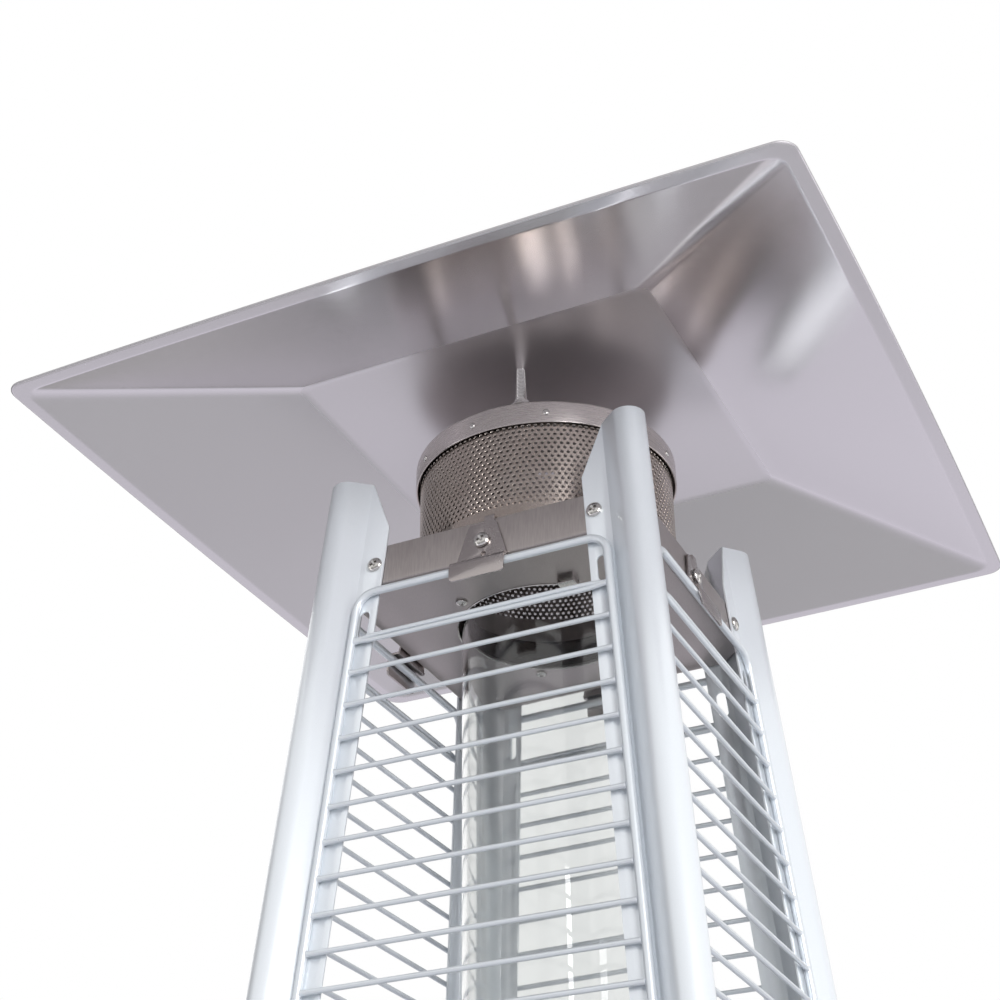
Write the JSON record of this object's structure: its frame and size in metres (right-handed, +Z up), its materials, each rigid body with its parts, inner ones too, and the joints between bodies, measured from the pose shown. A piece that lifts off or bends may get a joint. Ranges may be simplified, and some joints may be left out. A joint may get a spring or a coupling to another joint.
{
  "type": "pyramid patio heater",
  "caption": "Square pyramid gas patio heater: glass flame tube in four posts with wire guards, a flame screen and square reflector above, and a gas bay with a door below.",
  "frame": {"origin": "middle of the base tray's underside, on the floor", "axes": "+Z up the heater's axis; -Y is the front, with the door and the control knob; +Y is the back, with the wheels"},
  "size_m": [0.5176, 0.5963, 2.2677],
  "materials": {
    "silver_paint": "light silver-grey powder coat, satin",
    "satin_steel": "satin stainless sheet with soft reflections",
    "brushed_steel": "brushed stainless sheet, fine straight grain",
    "screen_steel": "perforated stainless sheet",
    "bright_zinc": "bright zinc plating",
    "clear_glass": "clear borosilicate tube",
    "brass": "machined brass",
    "burner_iron": "heat-darkened iron",
    "black_plastic": "fine-grained moulded plastic",
    "wheel_rubber": "hard black rubber",
    "seat_silicone": "heat-proof silicone"
  },
  "bodies": {
    "frame": {"base_tray": "silver_paint", "burner": "burner_iron", "burner_box": "silver_paint", "burner_pipe": "brass", "clip_screw_back": "bright_zinc", "clip_screw_front": "bright_zinc", "clip_screw_left": "bright_zinc", "clip_screw_right": "bright_zinc", "flame_screen": "screen_steel", "gas_inlet": "brass", "gas_valve": "brass", "glass_tube": "clear_glass", "guard_back": "silver_paint", "guard_clip_back": "brushed_steel", "guard_clip_front": "brushed_steel", "guard_clip_left": "brushed_steel", "guard_clip_right": "brushed_steel", "guard_front": "silver_paint", "guard_left": "silver_paint", "guard_right": "silver_paint", "hinge_leaf_lower": "bright_zinc", "hinge_leaf_upper": "bright_zinc", "hinge_pin_lower": "bright_zinc", "hinge_pin_upper": "bright_zinc", "igniter_module": "black_plastic", "lower_post_back_left": "silver_paint", "lower_post_back_right": "silver_paint", "lower_post_front_left": "silver_paint", "lower_post_front_right": "silver_paint", "pilot_assembly": "bright_zinc", "reflector": "satin_steel", "reflector_nut_1": "bright_zinc", "reflector_nut_2": "bright_zinc", "reflector_nut_3": "bright_zinc", "reflector_stud_1": "bright_zinc", "reflector_stud_2": "bright_zinc", "reflector_stud_3": "bright_zinc", "screen_cap": "satin_steel", "side_panel_back": "silver_paint", "side_panel_left": "silver_paint", "side_panel_right": "silver_paint", "top_plate": "brushed_steel", "tube_seat": "seat_silicone", "upper_post_back_left": "silver_paint", "upper_post_back_right": "silver_paint", "upper_post_front_left": "silver_paint", "upper_post_front_right": "silver_paint", "wheel_axle": "bright_zinc", "wheel_bracket": "silver_paint"},
    "door": {"door": "silver_paint", "door_handle": "bright_zinc"},
    "wheel_left": {"wheel_left": "wheel_rubber"},
    "wheel_right": {"wheel_right": "wheel_rubber"},
    "valve_plunger": {"valve_plunger": "bright_zinc"},
    "control_knob": {"control_knob": "black_plastic", "valve_stem": "bright_zinc"},
    "igniter_button": {"igniter_button": "black_plastic"}
  },
  "joints": [
    {"name": "door_hinge", "type": "hinge", "parent": "frame", "child": "door", "pos_m": [-0.18642, -0.22111, 0.43032], "axis": [-0.0746, -0.0746, -0.9944], "range_deg": [0, 120]},
    {"name": "wheel_left_spin", "type": "hinge", "parent": "frame", "child": "wheel_left", "pos_m": [-0.125, 0.29347, 0.048], "axis": [1, 0, 0], "continuous": true},
    {"name": "wheel_right_spin", "type": "hinge", "parent": "frame", "child": "wheel_right", "pos_m": [0.125, 0.29347, 0.048], "axis": [1, 0, 0], "continuous": true},
    {"name": "knob_push", "type": "slide", "parent": "frame", "child": "valve_plunger", "axis": [0, 0.9972, -0.0748], "range_m": [0, 0.004], "stiffness_N_per_m": 900, "springref_m": -0.006},
    {"name": "knob_turn", "type": "hinge", "parent": "valve_plunger", "child": "control_knob", "pos_m": [0, -0.18427, 0.844], "axis": [0, -0.9972, 0.0748], "range_deg": [0, 180]},
    {"name": "igniter_push", "type": "slide", "parent": "frame", "child": "igniter_button", "axis": [0, 0.9972, -0.0748], "range_m": [0, 0.005], "stiffness_N_per_m": 900, "springref_m": -0.006}
  ]
}
